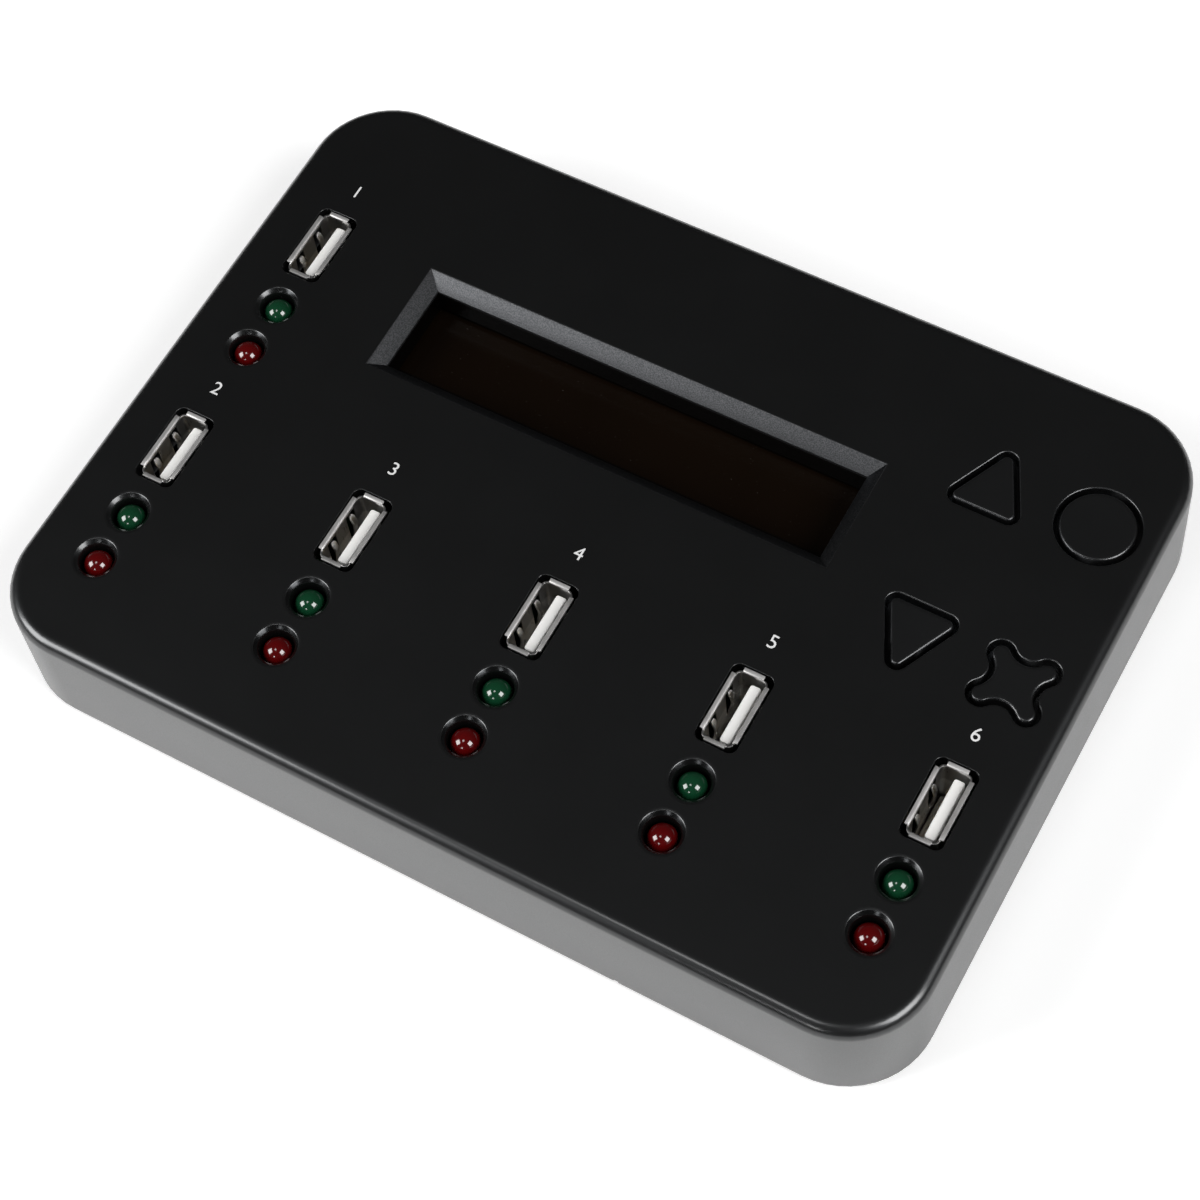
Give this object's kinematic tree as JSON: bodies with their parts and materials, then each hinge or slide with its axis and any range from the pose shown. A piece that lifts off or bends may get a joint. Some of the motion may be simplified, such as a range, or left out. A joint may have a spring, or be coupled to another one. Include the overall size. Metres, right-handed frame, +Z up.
{
  "type": "usb flash drive duplicator",
  "caption": "Low round-cornered case with upright drive sockets, a lamp pair for each, a recessed character display and shaped push buttons.",
  "frame": {"origin": "on the table under the middle of the case, level with the underside of the feet", "axes": "+X along the long side towards the buttons, +Y to the rear wall, +Z up"},
  "size_m": [0.1656, 0.1221, 0.0235],
  "materials": {
    "case_plastic": "fine satin texture, black",
    "button_plastic": "fine satin texture, black",
    "circuit_board": "green solder mask",
    "component_plastic": "moulded black",
    "display_frame": "black lacquer, satin",
    "display_glass": "dark brown polariser, polished",
    "crystal_can": "drawn can",
    "capacitor_sleeve": "shrunk dark blue sleeve",
    "contact_metal": "bright plated",
    "switch_plastic": "polished black",
    "socket_nickel": "bright nickel plate",
    "insulator_plastic": "white, smooth",
    "green_lens": "tinted diffused resin, green, unlit",
    "red_lens": "tinted diffused resin, red, unlit",
    "screw_steel": "zinc plated",
    "foot_rubber": "black, matt"
  },
  "bodies": {
    "root": {"top_cover": "case_plastic", "bottom_plate": "case_plastic", "main_board": "circuit_board", "display_board": "circuit_board", "display_header": "component_plastic", "display_frame": "display_frame", "display_glass": "display_glass", "controller_chip": "component_plastic", "quartz_crystal": "crystal_can", "capacitor": "capacitor_sleeve", "power_inlet": "component_plastic", "inlet_pin": "contact_metal", "rocker_housing": "switch_plastic", "usb_shell_1": "socket_nickel", "usb_insulator_1": "insulator_plastic", "green_lamp_1": "green_lens", "red_lamp_1": "red_lens", "usb_shell_2": "socket_nickel", "usb_insulator_2": "insulator_plastic", "green_lamp_2": "green_lens", "red_lamp_2": "red_lens", "usb_shell_3": "socket_nickel", "usb_insulator_3": "insulator_plastic", "green_lamp_3": "green_lens", "red_lamp_3": "red_lens", "usb_shell_4": "socket_nickel", "usb_insulator_4": "insulator_plastic", "green_lamp_4": "green_lens", "red_lamp_4": "red_lens", "usb_shell_5": "socket_nickel", "usb_insulator_5": "insulator_plastic", "green_lamp_5": "green_lens", "red_lamp_5": "red_lens", "usb_shell_6": "socket_nickel", "usb_insulator_6": "insulator_plastic", "green_lamp_6": "green_lens", "red_lamp_6": "red_lens", "up_switch": "component_plastic", "down_switch": "component_plastic", "round_switch": "component_plastic", "cross_switch": "component_plastic", "case_screw_1": "screw_steel", "rubber_foot_1": "foot_rubber", "case_screw_2": "screw_steel", "rubber_foot_2": "foot_rubber", "case_screw_3": "screw_steel", "rubber_foot_3": "foot_rubber", "case_screw_4": "screw_steel", "rubber_foot_4": "foot_rubber"},
    "power_rocker": {"power_rocker": "switch_plastic"},
    "up_button": {"up_button": "button_plastic", "up_plunger": "component_plastic"},
    "down_button": {"down_button": "button_plastic", "down_plunger": "component_plastic"},
    "round_button": {"round_button": "button_plastic", "round_plunger": "component_plastic"},
    "cross_button": {"cross_button": "button_plastic", "cross_plunger": "component_plastic"}
  },
  "joints": [
    {"name": "up_press", "type": "slide", "parent": "root", "child": "up_button", "axis": [0, 0, -1], "range_m": [0, 0.0006], "stiffness_N_per_m": 2500},
    {"name": "down_press", "type": "slide", "parent": "root", "child": "down_button", "axis": [0, 0, -1], "range_m": [0, 0.0006], "stiffness_N_per_m": 2500},
    {"name": "round_press", "type": "slide", "parent": "root", "child": "round_button", "axis": [0, 0, -1], "range_m": [0, 0.0006], "stiffness_N_per_m": 2500},
    {"name": "cross_press", "type": "slide", "parent": "root", "child": "cross_button", "axis": [0, 0, -1], "range_m": [0, 0.0006], "stiffness_N_per_m": 2500},
    {"name": "rocker_tilt", "type": "hinge", "parent": "root", "child": "power_rocker", "pos_m": [-0.012, 0.0577, 0.0148], "axis": [0, 0, -1], "range_deg": [0, 16]}
  ]
}
